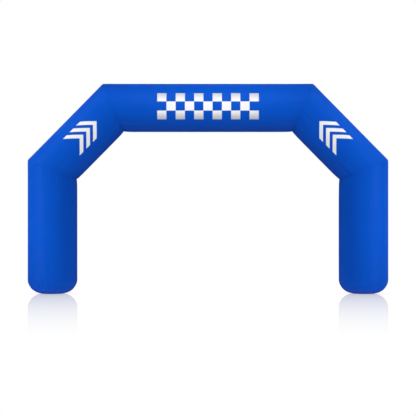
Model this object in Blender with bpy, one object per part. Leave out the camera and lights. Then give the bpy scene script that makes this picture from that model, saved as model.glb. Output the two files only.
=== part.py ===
"""Inflatable arch for an event gate, standing on the ground, in metres with +Z up.

Round tubes of coated cloth are cut at a mitre and sewn end to end: a leg and a sloping shoulder on
each side, and a level beam across the top. Each leg is closed at the ground by a disc of cloth, the
base, which air pressure rounds over into a soft foot. Each panel is one open skin of cloth, with
air inside, so only the sewn panels are solid.

The origin is on the ground, midway between the legs. +X runs across the arch, to the right of
someone who faces it, and -Y is the front. The arch is the same front and back, so a left-hand
panel is the right-hand one turned half round about Z.
"""

import math

import bmesh
import bpy
from mathutils import Vector

# The outline seen from the front.
SPAN = 6.00  # outer side of one leg to outer side of the other
HEIGHT = 3.49  # ground to the top of the beam
SHOULDER_HEIGHT = 2.22  # ground to the outer corner where a leg meets its shoulder
CROWN_WIDTH = 3.50  # between the outer corners where the shoulders meet the beam

# The tubes, as wide as they look from the front. Front to back they are all alike, so they meet.
LEG_WIDTH = 0.82
SHOULDER_WIDTH = 0.81
BEAM_WIDTH = 0.80
TUBE_DEPTH = 0.81

# The foot: a quarter ellipse from the leg's side down to a flat disc on the ground.
FOOT_FLAT_RADIUS = 0.15
FOOT_RISE = 0.24
BASE_SEAM_ANGLE = 31.0  # degrees round the quarter ellipse, where a disc as wide as the leg ends
LEG_FOOT_STEPS = 4
BASE_FOOT_STEPS = 6

# The cloth and its seams.
CLOTH = 0.003
SEAM_GAP = 0.0003  # clear space left between two panels
SEAM_DRAW = 0.005  # how far the thread draws the tube in at a seam
SEAM_REACH = 0.040  # how far from the seam the tube has its full width again

SIDES = 48  # points round a tube

BLUE = (0.006, 0.095, 0.61, 1.0)
CLOTH_ROUGHNESS = 0.55

FACING = Vector((0.0, 1.0, 0.0))  # square to the plane of the outline


def front(x, z):
    """A point or a direction in the plane of the outline."""
    return Vector((x, 0.0, z))


def meet(point, along, other_point, other_along):
    """Where two lines in the plane of the outline cross."""
    side = FACING.cross(other_along)
    return point + along * ((other_point - point).dot(side) / along.dot(side))


def outline():
    """The right half of the arch: its three tubes and the mitres between them.

    A tube is (start, axis, width), with start on its outer line. A mitre is its (outer, inner)
    corner.
    """
    corners = [
        front(SPAN / 2, 0.0),
        front(SPAN / 2, SHOULDER_HEIGHT),
        front(CROWN_WIDTH / 2, HEIGHT),
        front(0.0, HEIGHT),
    ]
    widths = (LEG_WIDTH, SHOULDER_WIDTH, BEAM_WIDTH)
    tubes = [
        (low, (high - low).normalized(), width)
        for low, high, width in zip(corners[:-1], corners[1:], widths)
    ]
    inner_lines = [
        (start + axis.cross(FACING) * width, axis) for start, axis, width in tubes
    ]
    mitres = [
        (outer, meet(*below, *above))
        for outer, below, above in zip(corners[1:], inner_lines[:-1], inner_lines[1:])
    ]
    return tubes, mitres


def loop(centre, reach, depth):
    """Points round a tube: reach is half its width, as a vector, and depth is half its depth."""
    turns = [2 * math.pi * i / SIDES for i in range(SIDES)]
    return [centre + reach * math.cos(a) + FACING * (depth * math.sin(a)) for a in turns]


def mitre_loop(mitre, axis, away, inset):
    """The loop of a tube's surface that lies away from a mitre along the tube, inset square to it."""
    outer, inner = mitre
    half = (outer - inner) / 2
    slant = half.normalized().cross(axis).length
    reach = half - half.normalized() * (inset / slant)
    return loop((outer + inner) / 2 + axis * away, reach, TUBE_DEPTH / 2 - inset)


def mitre_end(mitre, axis, inset):
    """The loops at a tube's end, from the mitre inwards. The axis points into the tube."""
    outer, inner = mitre
    slant = (outer - inner).normalized().cross(axis).length
    clear = SEAM_GAP / 2 / slant
    return [
        mitre_loop(mitre, axis, clear, inset + SEAM_DRAW),
        mitre_loop(mitre, axis, clear + SEAM_REACH, inset),
    ]


def foot_loop(angle, inset, lift=0.0, drawn=0.0):
    """A loop of the right foot's surface, at an angle in degrees down its quarter ellipse."""
    swing = math.radians(angle)
    side = LEG_WIDTH / 2 - FOOT_FLAT_RADIUS - inset
    radius = FOOT_FLAT_RADIUS + side * math.cos(swing) - drawn
    height = FOOT_RISE - (FOOT_RISE - inset) * math.sin(swing) + lift
    centre = front(SPAN / 2 - LEG_WIDTH / 2, height)
    return loop(centre, front(radius, 0.0), radius * TUBE_DEPTH / LEG_WIDTH)


def foot_loops(first, steps, inset, lift):
    """The loops from an angle on the foot to the base's seam, which is lifted and drawn in."""
    step = (BASE_SEAM_ANGLE - first) / steps
    loops = [foot_loop(first + step * i, inset) for i in range(steps)]
    loops.append(foot_loop(BASE_SEAM_ANGLE, inset, lift, SEAM_DRAW))
    return loops


def coated_cloth():
    material = bpy.data.materials.new("coated_cloth")
    material.use_nodes = True
    material.diffuse_color = BLUE
    shader = material.node_tree.nodes["Principled BSDF"]
    shader.inputs["Base Color"].default_value = BLUE
    shader.inputs["Roughness"].default_value = CLOTH_ROUGHNESS
    shader.inputs["Metallic"].default_value = 0.0
    return material


def panel_mesh(name, loops, origin, closed_ends):
    """A skin of cloth through its loops, as a mesh about its own origin.

    An open panel's loops run round through its wall and back to the first one. A panel with
    closed ends has a flat disc of cloth on its first loop and on its last.
    """
    shape = bmesh.new()
    rings = [[shape.verts.new(point - origin) for point in points] for points in loops]
    pairs = list(zip(rings[:-1], rings[1:]))
    if closed_ends:
        shape.faces.new(rings[0])
        shape.faces.new(rings[-1])
    else:
        pairs.append((rings[-1], rings[0]))
    for near, far in pairs:
        for i in range(SIDES):
            j = (i + 1) % SIDES
            shape.faces.new((near[i], near[j], far[j], far[i]))
    bmesh.ops.recalc_face_normals(shape, faces=shape.faces)
    mesh = bpy.data.meshes.new(name)
    shape.to_mesh(mesh)
    shape.free()
    mesh.shade_smooth()
    mesh.set_sharp_from_angle(angle=math.radians(30))
    return mesh


def tube_mesh(name, tube, mitres, origin):
    """A straight tube of cloth between two mitres."""
    _, axis, _ = tube
    first, last = mitres
    walls = [
        mitre_end(first, axis, inset) + mitre_end(last, -axis, inset)[::-1]
        for inset in (0.0, CLOTH)
    ]
    return panel_mesh(name, walls[0] + walls[1][::-1], origin, closed_ends=False)


def leg_mesh(leg, mitre, origin):
    """The right leg's tube, from its mitre down to the seam on the rounded foot."""
    _, up, _ = leg
    walls = [
        mitre_end(mitre, -up, inset)
        + foot_loops(0.0, LEG_FOOT_STEPS, inset, SEAM_GAP / 2)
        for inset in (0.0, CLOTH)
    ]
    return panel_mesh("leg", walls[0] + walls[1][::-1], origin, closed_ends=False)


def base_mesh(origin):
    """The cloth disc that closes the right leg and stands on the ground."""
    outside, inside = [
        foot_loops(90.0, BASE_FOOT_STEPS, inset, -SEAM_GAP / 2) for inset in (0.0, CLOTH)
    ]
    return panel_mesh("base", outside + inside[::-1], origin, closed_ends=True)


def mirrored_mitre(mitre):
    """The same mitre on the arch's left side."""
    return tuple(front(-corner.x, corner.z) for corner in mitre)


def place(name, mesh, origin, material, arch, turned=False):
    """Puts a panel on the arch. A turned one is the left-hand twin of a right-hand panel."""
    panel = bpy.data.objects.new(name, mesh)
    bpy.context.scene.collection.objects.link(panel)
    if not mesh.materials:
        mesh.materials.append(material)
    panel.parent = arch
    panel.location = front(-origin.x, origin.z) if turned else origin
    panel.rotation_euler.z = math.pi if turned else 0.0
    return panel


def main():
    for old in list(bpy.data.objects):
        bpy.data.objects.remove(old)

    material = coated_cloth()
    arch = bpy.data.objects.new("arch", None)
    bpy.context.scene.collection.objects.link(arch)

    (leg, shoulder, beam), (low_mitre, high_mitre) = outline()
    foot_centre = front(SPAN / 2 - LEG_WIDTH / 2, 0.0)
    shoulder_foot = sum(low_mitre, Vector()) / 2
    beam_centre = front(0.0, HEIGHT - BEAM_WIDTH / 2)

    sided = (
        ("leg", leg_mesh(leg, low_mitre, foot_centre), foot_centre),
        ("base", base_mesh(foot_centre), foot_centre),
        (
            "shoulder",
            tube_mesh("shoulder", shoulder, (low_mitre, high_mitre), shoulder_foot),
            shoulder_foot,
        ),
    )
    for name, mesh, origin in sided:
        place("right_" + name, mesh, origin, material, arch)
        place("left_" + name, mesh, origin, material, arch, turned=True)

    beam_ends = (high_mitre, mirrored_mitre(high_mitre))
    place("beam", tube_mesh("beam", beam, beam_ends, beam_centre), beam_centre, material, arch)


main()
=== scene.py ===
"""The looks of an inflatable event arch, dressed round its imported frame, in metres with +Z up.

Five round tubes of coated cloth, a leg and a shoulder on each side and a beam across the top, are
sewn end to end at mitres, and a disc of cloth closes each leg at the ground. Each cut piece of
cloth is made here as a taut skin, drawn in and puckered along its seams, with its rows of stitches
and its print. The front of the arch faces -Y.
"""

import math
from collections import namedtuple

import bpy
import numpy as np
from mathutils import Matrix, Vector


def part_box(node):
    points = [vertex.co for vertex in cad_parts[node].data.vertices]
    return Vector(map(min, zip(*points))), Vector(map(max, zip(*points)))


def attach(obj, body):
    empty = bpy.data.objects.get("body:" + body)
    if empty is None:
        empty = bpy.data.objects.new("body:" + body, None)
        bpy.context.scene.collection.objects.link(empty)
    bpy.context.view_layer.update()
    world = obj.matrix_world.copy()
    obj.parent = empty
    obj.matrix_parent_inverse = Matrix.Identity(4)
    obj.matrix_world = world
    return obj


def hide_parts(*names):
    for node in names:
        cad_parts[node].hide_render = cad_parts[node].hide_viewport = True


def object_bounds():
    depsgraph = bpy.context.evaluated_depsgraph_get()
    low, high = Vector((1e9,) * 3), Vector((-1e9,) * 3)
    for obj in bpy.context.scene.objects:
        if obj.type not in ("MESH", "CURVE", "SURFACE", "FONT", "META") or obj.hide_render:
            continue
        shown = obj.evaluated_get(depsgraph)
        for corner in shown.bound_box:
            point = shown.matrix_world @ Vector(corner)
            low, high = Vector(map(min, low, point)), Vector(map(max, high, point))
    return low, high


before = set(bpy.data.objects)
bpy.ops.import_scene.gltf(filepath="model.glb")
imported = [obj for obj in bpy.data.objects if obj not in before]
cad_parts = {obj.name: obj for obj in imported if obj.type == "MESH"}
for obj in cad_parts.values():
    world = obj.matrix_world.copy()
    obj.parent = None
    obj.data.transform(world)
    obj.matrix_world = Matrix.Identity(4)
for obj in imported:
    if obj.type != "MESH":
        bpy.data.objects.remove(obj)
cad_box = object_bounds()

BODY = "root"

# The outline seen from the front, as in the solids. The rest of it is read from the frame.
SHOULDER_HEIGHT = 2.22  # ground to the outer corner where a leg meets its shoulder
CROWN_WIDTH = 3.50  # between the outer corners where the shoulders meet the beam
SHOULDER_WIDTH = 0.81
FOOT_FLAT_RADIUS = 0.15
FOOT_RISE = 0.24
BASE_SEAM_ANGLE = math.radians(31.0)  # down the foot's quarter ellipse, to where the base starts

leg_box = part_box("right_leg")
beam_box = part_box("beam")
HALF_SPAN, HALF_DEPTH, HEIGHT = cad_box[1]
LEG_WIDTH = leg_box[1][0] - leg_box[0][0]
BEAM_WIDTH = beam_box[1][2] - beam_box[0][2]
FOOT_FROM_MIDDLE = HALF_SPAN - LEG_WIDTH / 2

FACING = np.array((0.0, 1.0, 0.0))  # square to the plane of the outline, away from the front
FRONT_ANGLE = math.radians(270.0)  # the middle of the front, round from the outer side

# The cloth as it is sewn and blown up.
CLOTH_THICKNESS = 0.0012
SEAM_GAP = 0.0003  # clear space between two panels
SEAM_DRAW = 0.0028  # how far a seam's thread draws the cloth in
SEAM_FALL = 0.010  # how far from the seam most of the draw is gone
SWELL = 0.0016  # how far the air pushes the cloth out beside a seam
SWELL_PEAK = 0.060  # how far from the seam the swell is highest
BEND_DRAW = 0.008  # how much further a mitre is drawn in at the inside of its bend
BEND_FALL = 0.080  # how far from the mitre most of that is gone
SLIDE_FALL = 0.050  # how far from a mitre the cloth still slides along to meet it
GROUND_EASE = 0.030  # how far above the ground a base is fully puckered; on it, it lies flat
CLOSING_SEAM_ANGLE = math.radians(132.0)  # round from the outer side: on the back, the inner half
CLOSING_DRAW = 0.0032  # how far that seam draws the cloth in
CLOSING_FALL = 0.014

# Puckers: how many go round a tube, how deep they are, and how far from the seam they are deepest.
Pucker = namedtuple("Pucker", "count depth peak")
PUCKERS = (
    Pucker(count=71, depth=0.0014, peak=0.013),
    Pucker(count=37, depth=0.0024, peak=0.032),
    Pucker(count=17, depth=0.0042, peak=0.085),
)
OUTER_GAIN = 0.6  # how deep they are outside a bend, where the cloth is stretched
INNER_GAIN = 2.2  # and inside a bend, where it is slack
INSIDE_POWER = 2  # higher keeps the slack cloth closer to a bend's inner corner
BASE_GAIN = 1.5  # and round a base, whose flat disc is pulled up into a bowl
PUCKER_WANDER = 0.06  # about how far each is moved round, in radians, to space them unevenly
WANDER_WAVES = 9  # the most waves round the tube that those moves have
WANDER_FALL = 1.0  # how much lower the shorter of those waves are: 0 is not at all
CREST_BREADTH = 0.8  # the power of a sine: lower makes broader crests and narrower troughs
DEPTH_SHARE = 0.75  # the share of its full depth that a pucker mostly has
DEPTH_CHANGE = 0.45  # how much that share changes, and in the next lines its limits and its waves
DEPTH_LIMITS = (0.1, 1.8)
DEPTH_WAVES = 24
DEPTH_FALL = 0.3

# The small puckers beside the closing seam.
CLOSING_PUCKER_PITCH = 0.040  # about how far apart they are
CLOSING_PUCKER_REACH = 0.090  # how far from the seam they have died away
CLOSING_PUCKER_DEPTH = 0.012  # from none to full noise, of which they use about a third
CLOSING_PUCKER_DETAIL = 1.0

# The mesh of a panel.
COLUMNS = 400  # points round a tube
ROW_FIRST_STEP = 0.002  # from a seam to the next row
ROW_GROWTH = 1.28  # each step's length by the one before it
ROW_FINE_REACH = 0.22  # how far from a seam the rows are fine
ROW_COARSE_STEP = 0.10
BASE_RINGS = (0.75, 0.50, 0.25, 0.08)  # rings of the base's flat, as shares of its radius

# Each panel's number, and the numbers of the seams where it begins and ends. They seed what is
# uneven, and panels that meet share their seam's number.
SEAMS = {
    "left_base": (1, 31, None),
    "left_leg": (2, 31, 32),
    "left_shoulder": (3, 32, 33),
    "beam": (4, 33, 34),
    "right_shoulder": (5, 35, 34),
    "right_leg": (6, 36, 35),
    "right_base": (7, 36, None),
}

# The stitches.
STITCH_PITCH = 0.0050
STITCH_LENGTH = 0.0041
THREAD_THICKNESS = 0.0011
STITCH_ROW = 0.006  # how far from the seam a row of stitches runs
STITCH_SIDES = 5
STITCH_RINGS = 3
STITCH_LEAST = (0.86, 0.9, 0.9)  # the least and the most of its length, width and height
STITCH_MOST = (1.0, 1.1, 1.1)
STITCH_SEED = 5

# The print on the front.
CHEQUER_SQUARE = 0.151
CHEQUER_COLUMNS = 11
CHEQUER_ROWS = 3
SILVER_START = 0.35  # where its ink starts to turn silver, as a share of the way to its edge
CHEVRON_COUNT = 3
CHEVRON_PITCH = 0.155
CHEVRON_BAR = 0.085
CHEVRON_REACH = 0.20  # from a chevron's point out to the end of its arm
CHEVRON_START = -0.02  # the inside of the first point, along from the middle of the panel
WHITE_INK = (0.92, 0.92, 0.93, 1.0)
SILVER_INK = (0.58, 0.59, 0.62, 1.0)

# The finish of the cloth. A noise runs from 0 to 1 and is mostly near its middle, so a range says
# which of its values are taken as the lowest and the highest.
BLUE = (0.0010, 0.0885, 0.60, 1.0)
# A darker blue: the cloth's uneven tone, the thread's bands, and painted shade beside the seams.
SHADED_BLUE = (0.0005, 0.0450, 0.33, 1.0)
SLOW_SCALE = 1.3  # about how many slow changes there are in a metre
SLOW_DETAIL = 2.0
SLOW_RANGE = (0.3, 0.7)
SLOW_SHADE = 0.12  # the most of the shaded blue that the slow changes bring
SLOW_BUMP = 0.004
SLOW_BUMP_STRENGTH = 0.4
QUICK_SCALE = 9.0  # and about how many quick ones
QUICK_DETAIL = 4.0
QUICK_RANGE = (0.25, 0.75)
CLOTH_ROUGHNESS = (0.46, 0.60)
CLOTH_SHEEN = 0.09
SEAM_PAINTED_SHADE = 0.16  # painted shade for its groove: the share of the shaded blue beside a seam
SEAM_PAINTED_SHADE_REACH = 0.008
# Dust near the ground, and painted shade that darkens the bottom of each foot.
DUST_AND_SHADE = (0.12, 0.15, 0.22, 1.0)
DUST_AND_SHADE_SHARE = 0.20
DUST_AND_SHADE_HEIGHT = 0.12  # how far up from the ground it lies
WEAVE_PITCH = 0.0012
WEAVE_DEPTH = 0.00012
WEAVE_STRENGTH = 0.5

# The finish of the thread.
TWIST_SCALE = 900.0  # puts the bands about 0.7 mm apart along each axis
TWIST_DISTORTION = 1.5
TWIST_DEPTH = 0.0002
TWIST_STRENGTH = 0.4
THREAD_ROUGHNESS = (0.65, 0.45)  # between the bands, and on them

# The camera. The photograph is square, and 60 of its pixels are a metre of the arch.
PHOTO_SIDE = 416
PIXELS_PER_METRE = 60
CAMERA_DISTANCE = 20.0
EYE_HEIGHT = 1.423
SENSOR = 36.0

# Soft boxes: where each hangs, the point it faces, its width and height, its watts, how widely it
# throws its light, in degrees, and the share of its watts that its twin behind the arch has. One
# to the right has a twin to the left too.
Lamp = namedtuple("Lamp", "name place target width height watts spread back_share")
LAMPS = (
    Lamp("side", (6.81, -3.54, 1.60), (2.60, 0.0, 1.30), 1.5, 2.5, 13.1, 45.0, 0.8),
    Lamp("corner", (5.27, -1.17, 5.82), (2.20, 0.0, 2.75), 1.5, 1.5, 5.1, 45.0, 0.8),
    Lamp("top", (0.0, -3.45, 5.99), (0.0, 0.0, 3.10), 3.4, 1.2, 16.8, 60.0, 0.8),
    Lamp("front", (0.0, -12.0, 3.00), (0.0, 0.0, 2.00), 6.0, 4.0, 194.0, 120.0, 0.3),
)

# The studio's white walls. They look fully white, and light the cloth less.
WALL_WHITE = (1.0, 1.0, 1.0, 1.0)
WALL_LIGHT = 0.26  # what they give to the cloth
WALL_GLOSS = 0.06  # what they give to its sheen

# The floor.
FLOOR_HALF = 60.0
FLOOR_WHITE = (0.75, 0.75, 0.75, 1.0)
FLOOR_IN_SHEEN = (0.08, 0.08, 0.08, 1.0)
MIRROR_WHITE = (1.0, 1.0, 1.0, 1.0)
MIRROR_IOR = 1.3
MIRROR_SHARE = 0.68  # beside the feet
MIRROR_FADE = 7.0  # how far from the feet the floor's polish has gone
MIRROR_FALL = 1.5  # how quickly it goes: 1 is evenly
CONTACT_REACH = 0.22  # how near a foot has to be to shade it
CONTACT_SHADE = 0.88  # how white it is where a foot shades it
CONTACT_RANGE = (0.2, 0.9)  # how open it is there, and how open where it is fully white
FOOT_LIGHT = 0.32  # how much more light the floor gives near the feet
FOOT_LIGHT_REACH = (0.3, 1.6)  # where that starts to fade and where it has gone

# A tube lies along its axis from start, which is on its outer line. Each end is the (outer, inner)
# corner of a mitre, or None at a leg's foot.
Tube = namedtuple("Tube", "name start axis outward width first last")

# A panel's points have a row for each line round it and a column for each line along it. around
# and along are each point's place on the flat cloth, from the middle of a tube's front or from the
# middle of a base, with one column more, where the panel closes. to_first and to_last are the
# distances to its two seams. A base has no tube and no last seam. A flipped panel's rows and
# columns make faces that point inwards.
Panel = namedtuple("Panel", "name tube points around along to_first to_last flipped")


def front(x, z):
    """A point or a direction in the plane of the outline."""
    return np.array((x, 0.0, z))


def unit(vector):
    return vector / np.linalg.norm(vector)


def meet(point, along, other_point, other_along):
    """Where two lines in the plane of the outline cross."""
    side = np.cross(FACING, other_along)
    return point + along * (np.dot(other_point - point, side) / np.dot(along, side))


def tubes_on(side):
    """The leg, the shoulder and the beam's mitre, on the right (1) or on the left (-1)."""
    corners = [
        front(side * HALF_SPAN, 0.0),
        front(side * HALF_SPAN, SHOULDER_HEIGHT),
        front(side * CROWN_WIDTH / 2, HEIGHT),
        front(0.0, HEIGHT),
    ]
    widths = (LEG_WIDTH, SHOULDER_WIDTH, BEAM_WIDTH)
    axes = [unit(high - low) for low, high in zip(corners[:-1], corners[1:])]
    outwards = [side * np.cross(FACING, axis) for axis in axes]
    inner_lines = [
        (corner - outward * width, axis)
        for corner, outward, width, axis in zip(corners, outwards, widths, axes)
    ]
    low_mitre, high_mitre = [
        (outer, meet(*below, *above))
        for outer, below, above in zip(corners[1:], inner_lines[:-1], inner_lines[1:])
    ]
    hand = "right" if side > 0 else "left"
    leg = Tube(hand + "_leg", corners[0], axes[0], outwards[0], widths[0], None, low_mitre)
    shoulder = Tube(
        hand + "_shoulder", corners[1], axes[1], outwards[1], widths[1], low_mitre, high_mitre
    )
    return leg, shoulder, high_mitre


def beam_between(left_mitre, right_mitre):
    right, up = front(1.0, 0.0), front(0.0, 1.0)
    return Tube("beam", left_mitre[0], right, up, BEAM_WIDTH, left_mitre, right_mitre)


def fine_steps():
    """Distances from a seam, close together at the seam and further apart away from it."""
    distances = [0.0]
    step = ROW_FIRST_STEP
    while distances[-1] < ROW_FINE_REACH:
        distances.append(distances[-1] + step)
        step *= ROW_GROWTH
    return np.array(distances)


def column_angles():
    """Angles round a tube, from its outer side towards its back, starting at its closing seam."""
    return CLOSING_SEAM_ANGLE + np.linspace(0.0, 2 * math.pi, COLUMNS, endpoint=False)


def closed(columns):
    """The columns with the first one again at the end."""
    return np.concatenate((columns, columns[:, :1]), axis=1)


def run_lengths(points):
    """The distance of each point from the first one in its column."""
    lengths = np.linalg.norm(np.diff(points, axis=0), axis=2)
    return np.concatenate((np.zeros((1, points.shape[1])), np.cumsum(lengths, axis=0)))


def foot_section(distance):
    """A foot's radius and height, at a distance down its side from where it starts to round."""
    side = LEG_WIDTH / 2 - FOOT_FLAT_RADIUS
    swing = np.clip(distance * 2 / (side + FOOT_RISE), 0.0, math.pi / 2)
    return FOOT_FLAT_RADIUS + side * np.cos(swing), FOOT_RISE * (1.0 - np.sin(swing))


def base_seam_distance():
    """How far down its side a foot's seam lies."""
    return BASE_SEAM_ANGLE * (LEG_WIDTH / 2 - FOOT_FLAT_RADIUS + FOOT_RISE) / 2


def corners_along(tube, mitre):
    """How far along the tube's axis the outer and the inner corner of its mitre lie."""
    return [np.dot(corner - tube.start, tube.axis) for corner in mitre]


def mitre_distance(tube, mitre, angles):
    """How far along the tube's axis its mitre lies, at each angle round it."""
    outer, inner = corners_along(tube, mitre)
    return (outer + inner) / 2 + (outer - inner) / 2 * np.cos(angles)


def mitre_slope(tube, mitre):
    """How far a mitre runs along the tube for each metre that it runs outwards."""
    if not mitre:
        return 0.0
    outer, inner = corners_along(tube, mitre)
    return (outer - inner) / tube.width


def tube_panel(tube):
    """A tube's cloth, before it is drawn in and puckered."""
    angles = column_angles()
    fine = fine_steps()
    scale = np.ones(len(fine))
    if tube.first:
        first_rows = mitre_distance(tube, tube.first, angles) + SEAM_GAP / 2 + fine[:, None]
    else:
        rise = base_seam_distance() - fine
        radii, heights = foot_section(rise)
        scale = radii / (tube.width / 2)
        heights += np.maximum(-rise, 0.0) + SEAM_GAP / 2
        first_rows = heights[:, None] + np.zeros_like(angles)
    last_rows = mitre_distance(tube, tube.last, angles) - SEAM_GAP / 2 - fine[::-1, None]
    steps = math.ceil((last_rows[0] - first_rows[-1]).max() / ROW_COARSE_STEP)
    shares = np.linspace(0.0, 1.0, steps + 1)[1:-1, None]
    middle_rows = first_rows[-1] * (1 - shares) + last_rows[0] * shares
    rows = np.concatenate((first_rows, middle_rows, last_rows))
    scale = np.concatenate((scale, np.ones(len(rows) - len(scale))))[:, None, None]

    outward = tube.outward * (tube.width / 2 * (scale * np.cos(angles)[None, :, None] - 1.0))
    facing = FACING * HALF_DEPTH * scale * np.sin(angles)[None, :, None]
    points = tube.start + tube.axis * rows[:, :, None] + outward + facing
    lengths = run_lengths(points)
    turns = np.append(angles, angles[0] + 2 * math.pi) - FRONT_ANGLE
    around = turns * (tube.width / 2 + HALF_DEPTH) / 2 + np.zeros((len(rows), 1))
    along = closed(rows - (rows[0].mean() + rows[-1].mean()) / 2)
    flipped = np.dot(np.cross(tube.outward, FACING), tube.axis) < 0
    to_last = lengths[-1] - lengths
    return Panel(tube.name, tube, points, around, along, lengths, to_last, flipped)


def base_panel(side):
    """A base's cloth, before it is drawn in and puckered, from its seam in to its middle."""
    angles = column_angles()
    radii, heights = foot_section(base_seam_distance() + fine_steps())
    heights = np.maximum(heights - SEAM_GAP / 2, 0.0)
    rings = np.array(BASE_RINGS) * FOOT_FLAT_RADIUS
    radii = np.concatenate((radii, rings))[:, None, None]
    heights = np.concatenate((heights, np.zeros(len(rings))))[:, None, None]
    middle = front(side * FOOT_FROM_MIDDLE, 0.0)
    depth = HALF_DEPTH / (LEG_WIDTH / 2)
    across = front(side, 0.0) * np.cos(angles)[:, None] + FACING * depth * np.sin(angles)[:, None]
    points = middle + radii * across + front(0.0, 1.0) * heights
    lengths = run_lengths(points)
    flat_radii = lengths[-1] - lengths + radii[-1]
    name = ("right" if side > 0 else "left") + "_base"
    around = closed(flat_radii * np.cos(angles))
    along = closed(flat_radii * np.sin(angles))
    return Panel(name, None, points, around, along, lengths, None, side > 0)


def grid_normals(panel):
    """The direction out of the cloth at each point of a panel."""
    round_it = np.roll(panel.points, -1, axis=1) - np.roll(panel.points, 1, axis=1)
    normals = np.cross(round_it, np.gradient(panel.points, axis=0))
    if panel.flipped:
        normals = -normals
    return normals / np.linalg.norm(normals, axis=2, keepdims=True)


def waves(places, random, highest, falloff):
    """A smooth uneven line, about 1 high, that comes round again every full turn."""
    total = np.zeros_like(places)
    for count in range(1, highest + 1):
        height = random.normal() / count**falloff
        total += height * np.sin(count * places + random.uniform(0.0, 2 * math.pi))
    return total / total.std()


def crests(places, pucker, random):
    """Unevenly spaced crests, 1 high and broad, with narrow troughs down to 0 between them."""
    wander = waves(places, random, WANDER_WAVES, WANDER_FALL) * PUCKER_WANDER * pucker.count
    return np.abs(np.sin((pucker.count * places + wander) / 2)) ** CREST_BREADTH


def hump(distance, peak):
    """Rises from nothing at a seam to 1 at the peak, and dies away beyond it."""
    ratio = distance / peak
    return ratio * np.exp(1.0 - ratio)


def seam_relief(angles, distance, seam, panel_number, gain):
    """How far the cloth stands out, at each distance from a seam round the tube.

    The puckers' places belong to the seam, because its thread gathers the panels on both sides.
    Their depths are the panel's own.
    """
    random = np.random.default_rng(seam)
    own_random = np.random.default_rng((seam, panel_number))
    relief = SWELL * hump(distance, SWELL_PEAK) - SEAM_DRAW * np.exp(-distance / SEAM_FALL)
    for pucker in PUCKERS:
        change = waves(angles, own_random, DEPTH_WAVES, DEPTH_FALL)
        depth = np.clip(DEPTH_SHARE + DEPTH_CHANGE * change, *DEPTH_LIMITS)
        trough = pucker.depth * gain * depth * (1.0 - crests(angles, pucker, random))
        relief -= trough * hump(distance, pucker.peak)
    return relief


def inside_share(angles):
    """How far inside a bend each angle is: 0 at its outer corner and 1 at its inner one."""
    return ((1.0 - np.cos(angles)) / 2) ** INSIDE_POWER


def mitre_relief(angles, distance, seam, panel_number):
    """How far the cloth stands out beside a mitre, where it is slack inside the bend."""
    inside = inside_share(angles)
    gain = OUTER_GAIN + (INNER_GAIN - OUTER_GAIN) * inside
    drawn = BEND_DRAW * inside * np.exp(-distance / BEND_FALL)
    return seam_relief(angles, distance, seam, panel_number, gain) - drawn


def closing_distance(angles):
    """About how far each angle is, round a tube, from the lengthwise seam that closes it."""
    away = (angles - CLOSING_SEAM_ANGLE + math.pi) % (2 * math.pi) - math.pi
    return np.abs(away) * LEG_WIDTH / 2


def closing_relief(panel, angles):
    """The groove of the seam that closes a tube, fading out into the seams at its ends."""
    groove = CLOSING_DRAW * np.exp(-closing_distance(angles) / CLOSING_FALL)
    from_end = np.minimum(panel.to_first, panel.to_last)
    return -groove * np.clip(from_end / SWELL_PEAK, 0.0, 1.0)


def slide_in_mitres(panel, angles, relief):
    """Slides points along a tube, so that seams that are drawn in still meet in their mitres."""
    first = mitre_slope(panel.tube, panel.tube.first) * np.exp(-panel.to_first / SLIDE_FALL)
    last = mitre_slope(panel.tube, panel.tube.last) * np.exp(-panel.to_last / SLIDE_FALL)
    slide = relief * np.cos(angles) * (first + last)
    return panel.tube.axis * slide[:, :, None]


def sewn(panel):
    """The panel drawn in and puckered along its seams."""
    angles = column_angles()
    number, first_seam, last_seam = SEAMS[panel.name]
    if panel.name.endswith(("leg", "base")):
        relief = seam_relief(angles, panel.to_first, first_seam, number, BASE_GAIN)
    else:
        relief = mitre_relief(angles, panel.to_first, first_seam, number)
    if not panel.tube:
        relief *= np.clip(panel.points[:, :, 2] / GROUND_EASE, 0.0, 1.0)
        return panel._replace(points=panel.points + grid_normals(panel) * relief[:, :, None])
    relief += mitre_relief(angles, panel.to_last, last_seam, number)
    relief += closing_relief(panel, angles)
    points = panel.points + grid_normals(panel) * relief[:, :, None]
    return panel._replace(points=points + slide_in_mitres(panel, angles, relief))


def make_plain(thing):
    """Makes what an object's modifiers give its own mesh."""
    evaluated = thing.evaluated_get(bpy.context.evaluated_depsgraph_get())
    mesh = bpy.data.meshes.new_from_object(evaluated)
    thing.modifiers.clear()
    thing.data = mesh


def panel_faces(panel):
    """The corners of a panel's faces: their points, and their places on the flat cloth."""
    rows = len(panel.points)
    row, column = (grid.ravel() for grid in np.indices((rows - 1, COLUMNS)))
    corners = [(row, column), (row, column + 1), (row + 1, column + 1), (row + 1, column)]
    if panel.flipped:
        corners.reverse()
    faces = np.stack([r * COLUMNS + c % COLUMNS for r, c in corners], axis=1).tolist()
    places = [np.stack((panel.around[r, c], panel.along[r, c]), axis=1) for r, c in corners]
    places = np.stack(places, axis=1).reshape(-1, 2)
    if not panel.tube:  # the middle of a base
        middle = (np.arange(COLUMNS) + (rows - 1) * COLUMNS).tolist()
        middle_places = np.stack((panel.around[-1, :-1], panel.along[-1, :-1]), axis=1)
        if panel.flipped:
            middle.reverse()
            middle_places = middle_places[::-1]
        faces.append(middle)
        places = np.concatenate((places, middle_places))
    return faces, places


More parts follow.
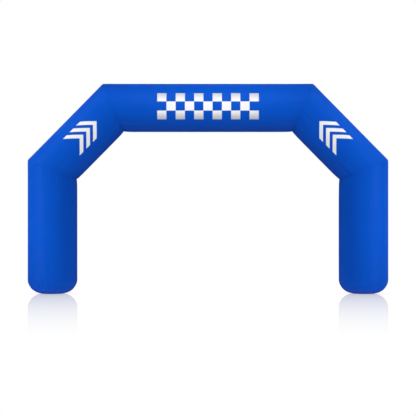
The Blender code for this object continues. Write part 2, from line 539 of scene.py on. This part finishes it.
def cloth_piece(panel, material):
    """A panel's cloth as a closed mesh with a wall, and its place on the flat cloth as its UV."""
    faces, places = panel_faces(panel)
    name = panel.name + "_cloth"
    mesh = bpy.data.meshes.new(name)
    mesh.from_pydata(panel.points.reshape(-1, 3).tolist(), [], faces)
    mesh.uv_layers.new(name="cloth").data.foreach_set("uv", places.ravel())
    nearest = panel.to_first
    closing = np.full_like(nearest, CLOSING_PUCKER_REACH)
    if panel.tube:
        closing = closing_distance(column_angles()) + np.zeros_like(nearest)
        nearest = np.minimum(np.minimum(nearest, panel.to_last), closing)
    for attribute, distances in (("seam_distance", nearest), ("closing_distance", closing)):
        kept = mesh.attributes.new(attribute, "FLOAT", "POINT")
        kept.data.foreach_set("value", distances.ravel())
    mesh.materials.append(material)
    mesh.shade_smooth()
    cloth = bpy.data.objects.new(name, mesh)
    bpy.context.scene.collection.objects.link(cloth)
    wall = cloth.modifiers.new("wall", "SOLIDIFY")
    wall.thickness = CLOTH_THICKNESS
    wall.offset = -1.0
    make_plain(cloth)
    return cloth


def line_round(panel, distances, distance):
    """A line round a panel at a distance from one of its seams, and the way out of the cloth."""
    normals = grid_normals(panel)
    order = np.argsort(distances[:, 0])
    near = distances[order, 0]
    upper = int(np.searchsorted(near, distance))
    share = (distance - near[upper - 1]) / (near[upper] - near[upper - 1])
    low, high = order[upper - 1], order[upper]
    points = panel.points[low] * (1 - share) + panel.points[high] * share
    return points, normals[low] * (1 - share) + normals[high] * share, True


def stitch_lines(panel):
    """The lines that a panel's stitches follow: (points, ways out of the cloth, closed or not)."""
    lines = [line_round(panel, panel.to_first, STITCH_ROW)]
    if panel.tube:
        lines.append(line_round(panel, panel.to_last, STITCH_ROW))
        normals = grid_normals(panel)
        clear = (panel.to_first[:, 0] > STITCH_ROW) & (panel.to_last[:, 0] > STITCH_ROW)
        for column in (1, COLUMNS - 1):  # on each side of the closing seam
            lines.append((panel.points[clear, column], normals[clear, column], False))
    return lines


def line_mesh(name, lines):
    """Edges along lines, with the way out of the cloth kept at each point."""
    points, outs, edges = [], [], []
    for line, out, is_closed in lines:
        start = len(points)
        points.extend(line.tolist())
        outs.extend(out.tolist())
        count = len(line)
        edges.extend((start + i, start + i + 1) for i in range(count - 1))
        if is_closed:
            edges.append((start + count - 1, start))
    mesh = bpy.data.meshes.new(name)
    mesh.from_pydata(points, edges, [])
    kept = mesh.attributes.new("out_of_cloth", "FLOAT_VECTOR", "POINT")
    kept.data.foreach_set("vector", np.array(outs).ravel())
    return mesh


class Tree:
    """Adds nodes to a node tree and links them."""

    def __init__(self, tree):
        self.tree = tree

    def add(self, kind, inputs=None, **settings):
        """A new node. Each input is given a value, or the output that feeds it."""
        node = self.tree.nodes.new(kind)
        for name, value in settings.items():
            setattr(node, name, value)
        for key, value in (inputs or {}).items():
            self.feed(node.inputs[key], value)
        return node

    def feed(self, socket, value):
        if isinstance(value, bpy.types.NodeSocket):
            self.tree.links.new(value, socket)
        else:
            socket.default_value = value

    def math(self, operation, *values):
        node = self.add("ShaderNodeMath", dict(enumerate(values)), operation=operation)
        return node.outputs[0]

    def ramp(self, value, low, high, start=0.0, end=1.0):
        """A number that goes smoothly from start to end as the value goes from low to high."""
        limits = {"Value": value, "From Min": low, "From Max": high, "To Min": start, "To Max": end}
        node = self.add("ShaderNodeMapRange", limits, interpolation_type="SMOOTHSTEP")
        return node.outputs["Result"]

    def split(self, vector):
        """The X, Y and Z of a vector."""
        return self.add("ShaderNodeSeparateXYZ", {"Vector": vector}).outputs

    def mix(self, share, first, second):
        """A colour that goes from the first to the second with the share."""
        node = self.add("ShaderNodeMix", data_type="RGBA")
        sockets = {socket.identifier: socket for socket in node.inputs}
        self.feed(sockets["Factor_Float"], share)
        self.feed(sockets["A_Color"], first)
        self.feed(sockets["B_Color"], second)
        return next(out for out in node.outputs if out.identifier == "Result_Color")

    def mix_shaders(self, share, first, second):
        """A shader that goes from the first to the second with the share."""
        return self.add("ShaderNodeMixShader", {0: share, 1: first, 2: second}).outputs[0]

    def bump(self, height, depth, strength=1.0, below=None):
        """A normal that is raised by a height of up to the depth, on the normal below it."""
        node = self.add("ShaderNodeBump", {"Height": height, "Distance": depth, "Strength": strength})
        if below:
            self.feed(node.inputs["Normal"], below)
        return node.outputs["Normal"]

    def group(self, group, inputs):
        """A node that holds a shader group."""
        node = self.add("ShaderNodeGroup")
        node.node_tree = group
        for key, value in inputs.items():
            self.feed(node.inputs[key], value)
        return node.outputs


def stitch_tree(thread):
    """Geometry nodes that lay a stitch of thread at each pitch along the edges they are given."""
    group = bpy.data.node_groups.new("stitch rows", "GeometryNodeTree")
    group.interface.new_socket("Lines", in_out="INPUT", socket_type="NodeSocketGeometry")
    for size in ("Pitch", "Length", "Thickness"):
        group.interface.new_socket(size, in_out="INPUT", socket_type="NodeSocketFloat")
    group.interface.new_socket("Stitches", in_out="OUTPUT", socket_type="NodeSocketGeometry")
    tree = Tree(group)
    given = tree.add("NodeGroupInput").outputs

    curve = tree.add("GeometryNodeMeshToCurve", {"Mesh": given["Lines"]}).outputs["Curve"]
    spaced = tree.add(
        "GeometryNodeResampleCurve", {"Curve": curve, "Length": given["Pitch"]}, mode="LENGTH"
    ).outputs["Curve"]
    ball = tree.add(
        "GeometryNodeMeshUVSphere",
        {"Segments": STITCH_SIDES, "Rings": STITCH_RINGS, "Radius": 0.5},
    ).outputs["Mesh"]
    size = tree.add(
        "ShaderNodeCombineXYZ",
        {"X": given["Length"], "Y": given["Thickness"], "Z": given["Thickness"]},
    ).outputs["Vector"]
    stitch = tree.add("GeometryNodeTransform", {"Geometry": ball, "Scale": size})
    run = tree.add("GeometryNodeInputTangent").outputs["Tangent"]
    lengthwise = tree.add("FunctionNodeAlignRotationToVector", {"Vector": run}, axis="X")
    out = tree.add(
        "GeometryNodeInputNamedAttribute", {"Name": "out_of_cloth"}, data_type="FLOAT_VECTOR"
    ).outputs["Attribute"]
    upright = tree.add(
        "FunctionNodeAlignRotationToVector",
        {"Rotation": lengthwise.outputs["Rotation"], "Vector": out},
        axis="Z",
        pivot_axis="X",
    )
    uneven = tree.add(
        "FunctionNodeRandomValue",
        {"Min": STITCH_LEAST, "Max": STITCH_MOST, "Seed": STITCH_SEED},
        data_type="FLOAT_VECTOR",
    )
    placed = tree.add(
        "GeometryNodeInstanceOnPoints",
        {
            "Points": spaced,
            "Instance": stitch.outputs["Geometry"],
            "Rotation": upright.outputs["Rotation"],
            "Scale": uneven.outputs["Value"],
        },
    ).outputs["Instances"]
    real = tree.add("GeometryNodeRealizeInstances", {"Geometry": placed}).outputs["Geometry"]
    finished = tree.add("GeometryNodeSetMaterial", {"Geometry": real, "Material": thread})
    tree.add("NodeGroupOutput", {"Stitches": finished.outputs["Geometry"]})
    return group


def stitch_piece(panel, tree):
    """A panel's rows of stitches as a plain mesh."""
    name = panel.name + "_stitches"
    stitches = bpy.data.objects.new(name, line_mesh(name, stitch_lines(panel)))
    bpy.context.scene.collection.objects.link(stitches)
    rows = stitches.modifiers.new("stitch rows", "NODES")
    rows.node_group = tree
    sizes = {"Pitch": STITCH_PITCH, "Length": STITCH_LENGTH, "Thickness": THREAD_THICKNESS}
    for item in tree.interface.items_tree:
        if item.name in sizes:
            rows[item.identifier] = sizes[item.name]
    make_plain(stitches)
    stitches.data.shade_smooth()
    return stitches


def shader_group(name, inputs, outputs):
    """An empty shader group with named sockets: the group, its tree, its inputs and its outputs."""
    group = bpy.data.node_groups.new(name, "ShaderNodeTree")
    for socket, kind in inputs.items():
        group.interface.new_socket(socket, in_out="INPUT", socket_type="NodeSocket" + kind)
    for socket, kind in outputs.items():
        group.interface.new_socket(socket, in_out="OUTPUT", socket_type="NodeSocket" + kind)
    tree = Tree(group)
    return group, tree, tree.add("NodeGroupInput").outputs, tree.add("NodeGroupOutput").inputs


def weave_group():
    """Plain weave: threads that go over and under each other."""
    inputs = {"Place": "Vector", "Pitch": "Float"}
    group, tree, given, result = shader_group("plain weave", inputs, {"Height": "Float"})
    place = tree.split(given["Place"])
    turn = tree.math("DIVIDE", math.pi, given["Pitch"])
    weft = tree.math("SINE", tree.math("MULTIPLY", place["X"], turn))
    warp = tree.math("SINE", tree.math("MULTIPLY", place["Y"], turn))
    crossing = tree.math("MULTIPLY", weft, warp)
    tree.feed(result["Height"], tree.math("MULTIPLY_ADD", crossing, 0.5, 0.5))
    return group


def unevenness_group():
    """Slow and quick changes over the cloth, from its coating and from being folded away."""
    outputs = {"Slow": "Float", "Quick": "Float"}
    group, tree, given, result = shader_group("uneven cloth", {"Place": "Vector"}, outputs)
    noises = (("Slow", SLOW_SCALE, SLOW_DETAIL), ("Quick", QUICK_SCALE, QUICK_DETAIL))
    for output, scale, detail in noises:
        sizes = {"Scale": scale, "Detail": detail}
        noise = tree.add("ShaderNodeTexNoise", {"Vector": given["Place"], **sizes})
        tree.feed(result[output], noise.outputs["Fac"])
    return group


def pucker_group():
    """Small uneven puckers, square to a seam that runs along the cloth, that die away from it."""
    inputs = {"Place": "Vector", "Distance": "Float", "Pitch": "Float", "Reach": "Float"}
    group, tree, given, result = shader_group("seam puckers", inputs, {"Height": "Float"})
    step = tree.math("DIVIDE", tree.split(given["Place"])["Y"], given["Pitch"])
    apart = tree.math("DIVIDE", given["Distance"], given["Reach"])
    spot = tree.add("ShaderNodeCombineXYZ", {"X": step, "Y": apart}).outputs["Vector"]
    sizes = {"Scale": 1.0, "Detail": CLOSING_PUCKER_DETAIL}
    puckers = tree.add("ShaderNodeTexNoise", {"Vector": spot, **sizes})
    left = tree.ramp(apart, 0.0, 1.0, 1.0, 0.0)
    tree.feed(result["Height"], tree.math("MULTIPLY", puckers.outputs["Fac"], left))
    return group


def chequer_group():
    """A block of squares, every other one inked, in the middle of the cloth's front."""
    inputs = {"Place": "Vector", "Square": "Float", "Rows": "Float", "Columns": "Float"}
    group, tree, given, result = shader_group("chequer", inputs, {"Ink": "Float"})
    place = tree.split(given["Place"])
    cells = []
    inside = []
    for distance, count in ((place["X"], given["Rows"]), (place["Y"], given["Columns"])):
        squares = tree.math("DIVIDE", distance, given["Square"])
        half = tree.math("MULTIPLY", count, 0.5)
        cells.append(tree.math("FLOOR", tree.math("ADD", squares, half)))
        inside.append(tree.math("LESS_THAN", tree.math("ABSOLUTE", squares), half))
    odd = tree.math("FLOORED_MODULO", tree.math("ADD", *cells), 2.0)
    even = tree.math("SUBTRACT", 1.0, odd)
    tree.feed(result["Ink"], tree.math("MULTIPLY", even, tree.math("MULTIPLY", *inside)))
    return group


def chevron_group():
    """Chevrons in a row along the middle of the cloth's front, pointing to its far end."""
    sizes = ("Count", "Pitch", "Bar", "Reach", "Start")
    inputs = {"Place": "Vector", **dict.fromkeys(sizes, "Float")}
    group, tree, given, result = shader_group("chevrons", inputs, {"Ink": "Float"})
    place = tree.split(given["Place"])
    across = tree.math("ABSOLUTE", place["X"])
    beyond = tree.math("SUBTRACT", tree.math("ADD", place["Y"], across), given["Start"])
    step = tree.math("DIVIDE", beyond, given["Pitch"])
    bar = tree.math("DIVIDE", given["Bar"], given["Pitch"])
    inked = tree.math("LESS_THAN", tree.math("FRACT", step), bar)
    started = tree.math("GREATER_THAN", step, 0.0)
    unfinished = tree.math("LESS_THAN", step, given["Count"])
    in_reach = tree.math("LESS_THAN", across, given["Reach"])
    row = tree.math("MULTIPLY", started, unfinished)
    tree.feed(result["Ink"], tree.math("MULTIPLY", inked, tree.math("MULTIPLY", row, in_reach)))
    return group


def beam_print(tree, groups, place):
    """The chequer's ink, white along its middle and silver towards its top and its bottom."""
    sizes = {"Square": CHEQUER_SQUARE, "Rows": CHEQUER_ROWS, "Columns": CHEQUER_COLUMNS}
    ink = tree.group(groups["chequer"], {"Place": place, **sizes})["Ink"]
    from_middle = tree.math("ABSOLUTE", tree.split(place)["X"])
    edge = CHEQUER_ROWS * CHEQUER_SQUARE / 2
    silver = tree.ramp(from_middle, edge * SILVER_START, edge)
    return ink, tree.mix(silver, WHITE_INK, SILVER_INK)


def shoulder_print(tree, groups, place):
    """The chevrons' ink."""
    sizes = {
        "Count": CHEVRON_COUNT,
        "Pitch": CHEVRON_PITCH,
        "Bar": CHEVRON_BAR,
        "Reach": CHEVRON_REACH,
        "Start": CHEVRON_START,
    }
    return tree.group(groups["chevrons"], {"Place": place, **sizes})["Ink"], WHITE_INK


def cloth_colour(tree, uneven, printed, spot):
    """Uneven blue with print, painted shade by the seams, dust and painted shade near the ground."""
    shade = tree.ramp(uneven["Slow"], *SLOW_RANGE, 0.0, SLOW_SHADE)
    colour = tree.mix(shade, BLUE, SHADED_BLUE)
    if printed:
        ink, ink_colour = printed
        colour = tree.mix(ink, colour, ink_colour)
    seam = tree.add("ShaderNodeAttribute", attribute_name="seam_distance").outputs["Fac"]
    # Painted shade beside each seam, standing in for the shade in its groove.
    painted_seam_shade = tree.ramp(seam, 0.0, SEAM_PAINTED_SHADE_REACH, SEAM_PAINTED_SHADE, 0.0)
    colour = tree.mix(painted_seam_shade, colour, SHADED_BLUE)
    # Dust, and painted shade that darkens the bottom of each foot.
    near_ground = tree.ramp(tree.split(spot)["Z"], 0.0, DUST_AND_SHADE_HEIGHT, DUST_AND_SHADE_SHARE, 0.0)
    return tree.mix(tree.math("MULTIPLY", near_ground, uneven["Quick"]), colour, DUST_AND_SHADE)


def cloth_relief(tree, groups, uneven, place):
    """The weave, the slow unevenness and the closing seam's puckers, as a normal."""
    weave = tree.group(groups["weave"], {"Place": place, "Pitch": WEAVE_PITCH})["Height"]
    fine = tree.bump(weave, WEAVE_DEPTH, WEAVE_STRENGTH)
    soft = tree.bump(uneven["Slow"], SLOW_BUMP, SLOW_BUMP_STRENGTH, below=fine)
    closing = tree.add("ShaderNodeAttribute", attribute_name="closing_distance").outputs["Fac"]
    sizes = {"Pitch": CLOSING_PUCKER_PITCH, "Reach": CLOSING_PUCKER_REACH}
    puckers = tree.group(groups["puckers"], {"Place": place, "Distance": closing, **sizes})
    return tree.bump(puckers["Height"], CLOSING_PUCKER_DEPTH, below=soft)


def cloth_material(name, groups, print_maker=None):
    """Blue coated cloth, with a print if a maker of one is given."""
    material = bpy.data.materials.new(name)
    material.use_nodes = True
    tree = Tree(material.node_tree)
    shader = material.node_tree.nodes["Principled BSDF"]
    place = tree.add("ShaderNodeUVMap", uv_map="cloth").outputs["UV"]
    spot = tree.add("ShaderNodeTexCoord").outputs["Object"]
    uneven = tree.group(groups["uneven"], {"Place": spot})
    printed = print_maker(tree, groups, place) if print_maker else None
    tree.feed(shader.inputs["Base Color"], cloth_colour(tree, uneven, printed, spot))
    roughness = tree.ramp(uneven["Quick"], *QUICK_RANGE, *CLOTH_ROUGHNESS)
    tree.feed(shader.inputs["Roughness"], roughness)
    tree.feed(shader.inputs["Normal"], cloth_relief(tree, groups, uneven, place))
    shader.inputs["Specular IOR Level"].default_value = CLOTH_SHEEN
    return material


def thread_material():
    """Blue polyester thread, with its twist as fine bands."""
    material = bpy.data.materials.new("thread")
    material.use_nodes = True
    tree = Tree(material.node_tree)
    shader = material.node_tree.nodes["Principled BSDF"]
    spot = tree.add("ShaderNodeTexCoord").outputs["Object"]
    twist = tree.add(
        "ShaderNodeTexWave",
        {"Vector": spot, "Scale": TWIST_SCALE, "Distortion": TWIST_DISTORTION},
        bands_direction="DIAGONAL",
    ).outputs["Fac"]
    tree.feed(shader.inputs["Base Color"], tree.mix(twist, SHADED_BLUE, BLUE))
    tree.feed(shader.inputs["Roughness"], tree.ramp(twist, 0.0, 1.0, *THREAD_ROUGHNESS))
    tree.feed(shader.inputs["Normal"], tree.bump(twist, TWIST_DEPTH, TWIST_STRENGTH))
    return material


def dress():
    """Makes every panel's cloth and stitches, and fits them to the frame."""
    groups = {
        "weave": weave_group(),
        "uneven": unevenness_group(),
        "puckers": pucker_group(),
        "chequer": chequer_group(),
        "chevrons": chevron_group(),
    }
    plain = cloth_material("coated cloth", groups)
    with_chequer = cloth_material("coated cloth with chequer", groups, beam_print)
    with_chevrons = cloth_material("coated cloth with chevrons", groups, shoulder_print)
    stitches_from = stitch_tree(thread_material())

    mitres = {}
    panels = []
    for side in (-1, 1):
        leg, shoulder, mitres[side] = tubes_on(side)
        panels.append((base_panel(side), plain))
        panels.append((tube_panel(leg), plain))
        panels.append((tube_panel(shoulder), with_chevrons))
    panels.append((tube_panel(beam_between(mitres[-1], mitres[1])), with_chequer))

    for flat_panel, material in panels:
        panel = sewn(flat_panel)
        cloth = cloth_piece(panel, material)
        stitches = stitch_piece(panel, stitches_from)
        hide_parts(panel.name)
        for piece in (cloth, stitches):
            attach(piece, BODY)


def add_camera():
    data = bpy.data.cameras.new("camera")
    data.sensor_width = SENSOR
    data.lens = SENSOR * PIXELS_PER_METRE * CAMERA_DISTANCE / PHOTO_SIDE
    camera = bpy.data.objects.new("camera", data)
    camera.location = (0.0, -CAMERA_DISTANCE, EYE_HEIGHT)
    camera.rotation_euler = (math.pi / 2, 0.0, 0.0)
    bpy.context.scene.collection.objects.link(camera)
    bpy.context.scene.camera = camera


def add_lamp(lamp, across, back):
    """Hangs a soft box where the table says, or as its twin across (-1) or behind (-1)."""
    data = bpy.data.lights.new(lamp.name, "AREA")
    data.shape = "RECTANGLE"
    data.size, data.size_y = lamp.width, lamp.height
    data.energy = lamp.watts * (lamp.back_share if back < 0 else 1.0)
    data.spread = math.radians(lamp.spread)
    light = bpy.data.objects.new(lamp.name, data)
    turned = Vector((across, back, 1.0))
    light.location = Vector(lamp.place) * turned
    facing = Vector(lamp.target) * turned - light.location
    light.rotation_euler = facing.to_track_quat("-Z", "Y").to_euler()
    light.visible_camera = False
    light.visible_glossy = False
    bpy.context.scene.collection.objects.link(light)


def add_lamps():
    for lamp in LAMPS:
        for across in (1, -1) if lamp.place[0] else (1,):
            for back in (1, -1):
                add_lamp(lamp, across, back)


def add_studio():
    """White walls all round: fully white to look at and in the floor's mirror, softer as a light."""
    world = bpy.data.worlds.new("studio")
    world.use_nodes = True
    world.cycles.sampling_method = "NONE"
    bpy.context.scene.world = world
    tree = Tree(world.node_tree)
    world.node_tree.nodes.clear()
    path = tree.add("ShaderNodeLightPath").outputs
    seen = tree.math("MAXIMUM", path["Is Camera Ray"], path["Is Singular Ray"])
    in_gloss = WALL_GLOSS - WALL_LIGHT
    light = tree.math("MULTIPLY_ADD", path["Is Glossy Ray"], in_gloss, WALL_LIGHT)
    strength = tree.math("MAXIMUM", light, seen)
    walls = tree.add("ShaderNodeBackground", {"Color": WALL_WHITE, "Strength": strength})
    tree.add("ShaderNodeOutputWorld", {"Surface": walls.outputs["Background"]})
    bpy.context.scene.view_settings.view_transform = "Standard"


def distance_from_feet(tree):
    """How far a point of the floor is from the middle of the nearer foot."""
    spot = tree.split(tree.add("ShaderNodeTexCoord").outputs["Object"])
    beside = tree.math("SUBTRACT", tree.math("ABSOLUTE", spot["X"]), FOOT_FROM_MIDDLE)
    squares = [tree.math("MULTIPLY", reach, reach) for reach in (beside, spot["Y"])]
    return tree.math("SQRT", tree.math("ADD", *squares))


def floor_to_look_at(tree, away):
    """White, shaded where the feet touch it, with a mirror that fades away from them."""
    faded = tree.math("MINIMUM", tree.math("DIVIDE", away, MIRROR_FADE), 1.0)
    left = tree.math("POWER", tree.math("SUBTRACT", 1.0, faded), MIRROR_FALL)
    polish = tree.math("MULTIPLY", left, MIRROR_SHARE)
    fresnel = tree.add("ShaderNodeFresnel", {"IOR": MIRROR_IOR}).outputs["Fac"]
    mirror = tree.add("ShaderNodeBsdfGlossy", {"Color": MIRROR_WHITE, "Roughness": 0.0})
    is_open = tree.add("ShaderNodeAmbientOcclusion", {"Distance": CONTACT_REACH}).outputs["AO"]
    whiteness = tree.ramp(is_open, *CONTACT_RANGE, CONTACT_SHADE, 1.0)
    white = tree.add("ShaderNodeEmission", {"Strength": whiteness})
    mirrored = tree.math("MULTIPLY", fresnel, polish)
    return tree.mix_shaders(mirrored, white.outputs[0], mirror.outputs[0])


def floor_as_light(tree, path, away):
    """What the floor gives back to the cloth, with more near the feet."""
    colour = tree.mix(path["Is Glossy Ray"], FLOOR_WHITE, FLOOR_IN_SHEEN)
    dull = tree.add("ShaderNodeBsdfDiffuse", {"Color": colour})
    foot_light = tree.ramp(away, *FOOT_LIGHT_REACH, FOOT_LIGHT, 0.0)
    strength = tree.math("MULTIPLY", foot_light, path["Is Diffuse Ray"])
    glow = tree.add("ShaderNodeEmission", {"Strength": strength})
    return tree.add("ShaderNodeAddShader", {0: dull.outputs[0], 1: glow.outputs[0]}).outputs[0]


def floor_material():
    """A white floor that mirrors the feet, and can be seen through from below."""
    material = bpy.data.materials.new("white floor")
    material.use_nodes = True
    tree = Tree(material.node_tree)
    material.node_tree.nodes.clear()
    path = tree.add("ShaderNodeLightPath").outputs
    away = distance_from_feet(tree)
    as_light = floor_as_light(tree, path, away)
    floor = tree.mix_shaders(path["Is Camera Ray"], as_light, floor_to_look_at(tree, away))
    below = tree.add("ShaderNodeNewGeometry").outputs["Backfacing"]
    clear = tree.add("ShaderNodeBsdfTransparent").outputs[0]
    surface = tree.mix_shaders(below, floor, clear)
    tree.add("ShaderNodeOutputMaterial", {"Surface": surface})
    return material


def add_floor():
    corners = [(-1, -1), (1, -1), (1, 1), (-1, 1)]
    points = [(x * FLOOR_HALF, y * FLOOR_HALF, 0.0) for x, y in corners]
    mesh = bpy.data.meshes.new("floor")
    mesh.from_pydata(points, [], [(0, 1, 2, 3)])
    mesh.materials.append(floor_material())
    floor = bpy.data.objects.new("floor", mesh)
    bpy.context.scene.collection.objects.link(floor)


add_camera()
dress()
add_studio()
add_lamps()
add_floor()
